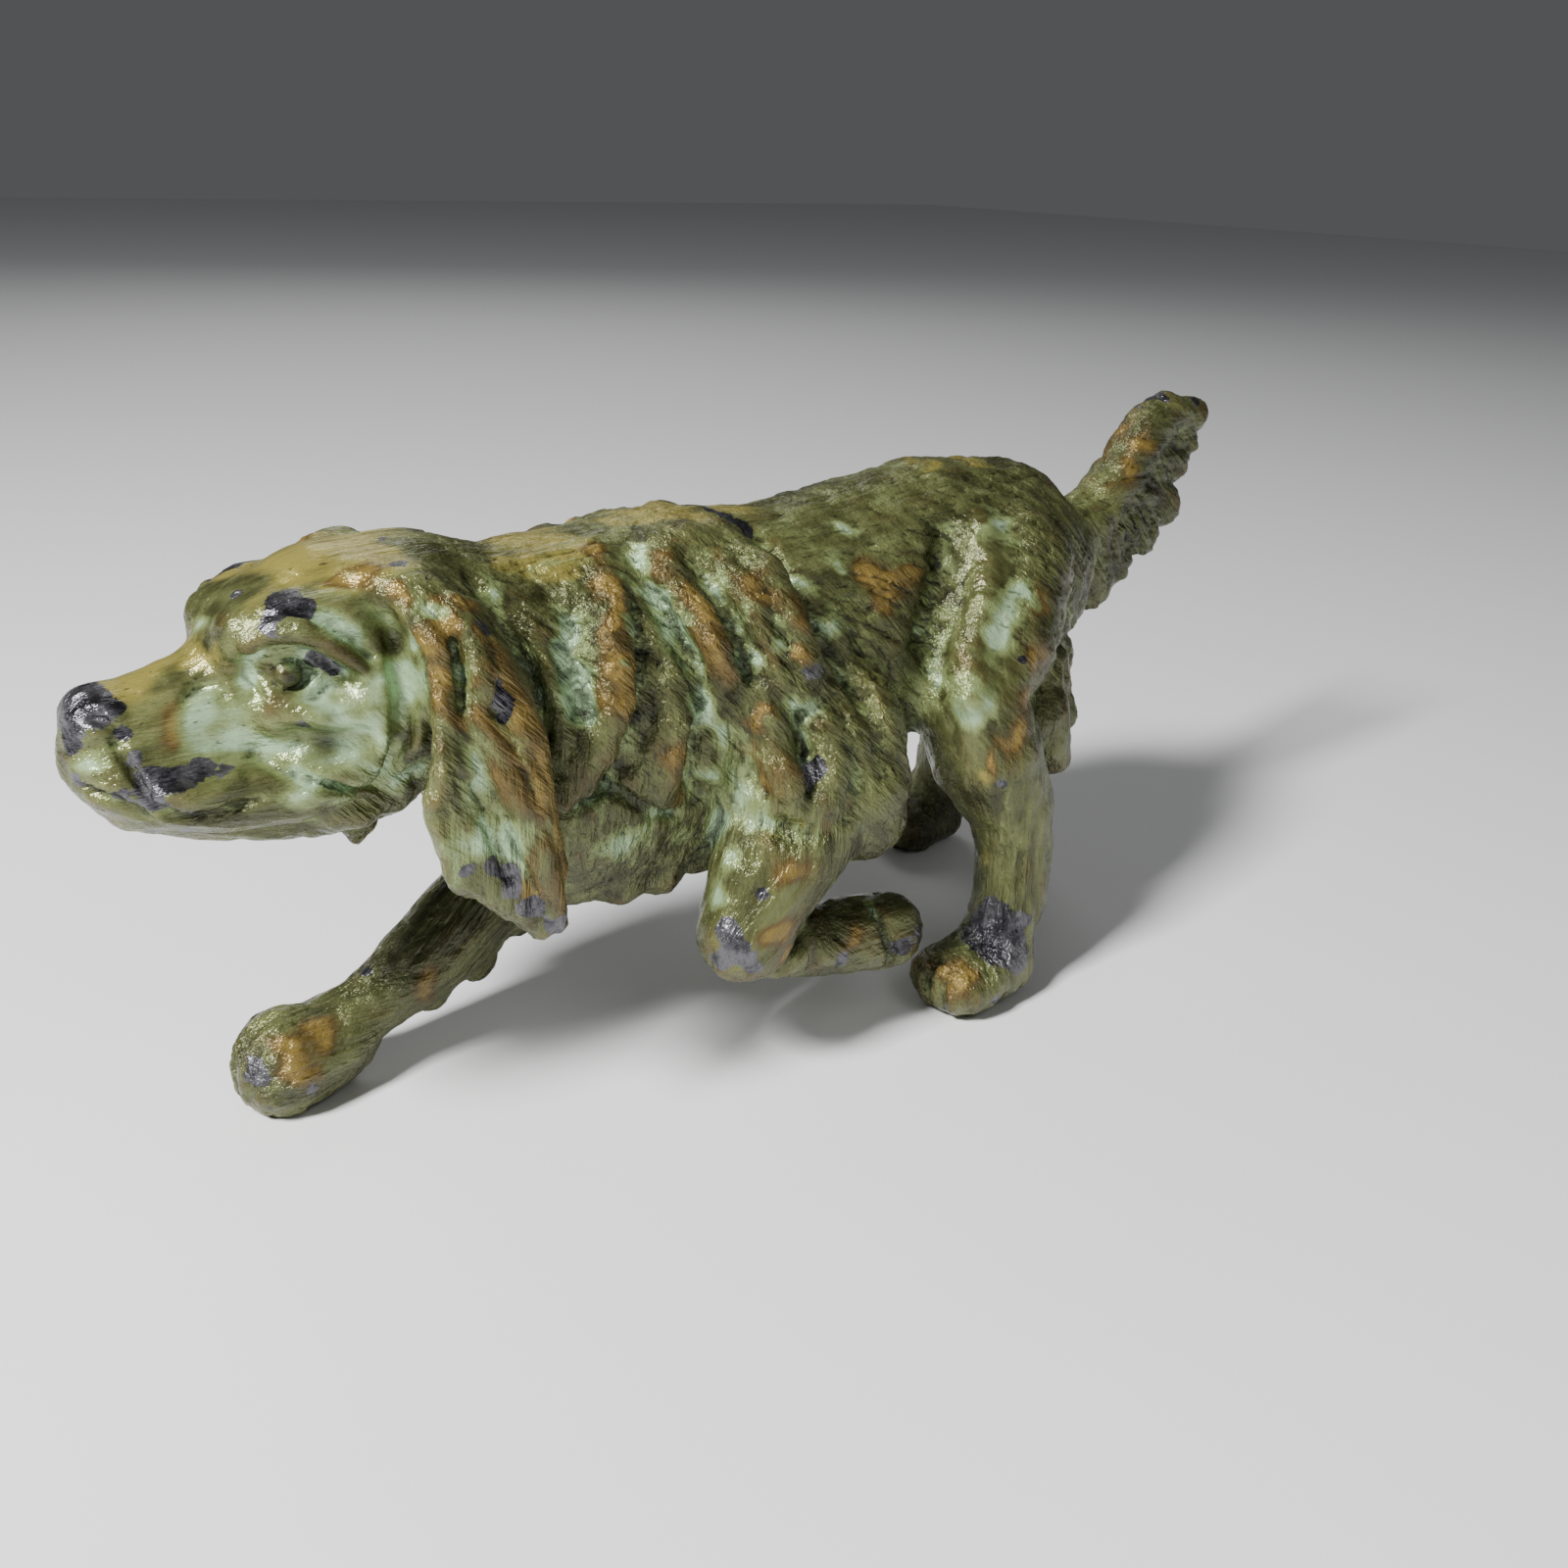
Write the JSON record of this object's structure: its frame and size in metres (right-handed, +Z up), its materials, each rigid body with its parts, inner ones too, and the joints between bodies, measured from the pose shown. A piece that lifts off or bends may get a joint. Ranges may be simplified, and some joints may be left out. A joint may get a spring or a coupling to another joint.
{
  "type": "irish setter statue",
  "caption": "Cast metal figure of a setter stalking low with one foreleg raised and its tail up, with a worn green and bronze patina.",
  "frame": {"origin": "centre of the bounding box, on the plane that the three paws stand on", "axes": "+Z up, -X the way the head points, -Y the dog's left side, which has the raised foreleg"},
  "size_m": [0.2266, 0.0666, 0.0975],
  "materials": {
    "patina": "semi-gloss bronze paint under a green patina, rubbed through to grey metal on the high spots"
  },
  "bodies": {
    "root": {"setter": "patina"}
  },
  "joints": []
}
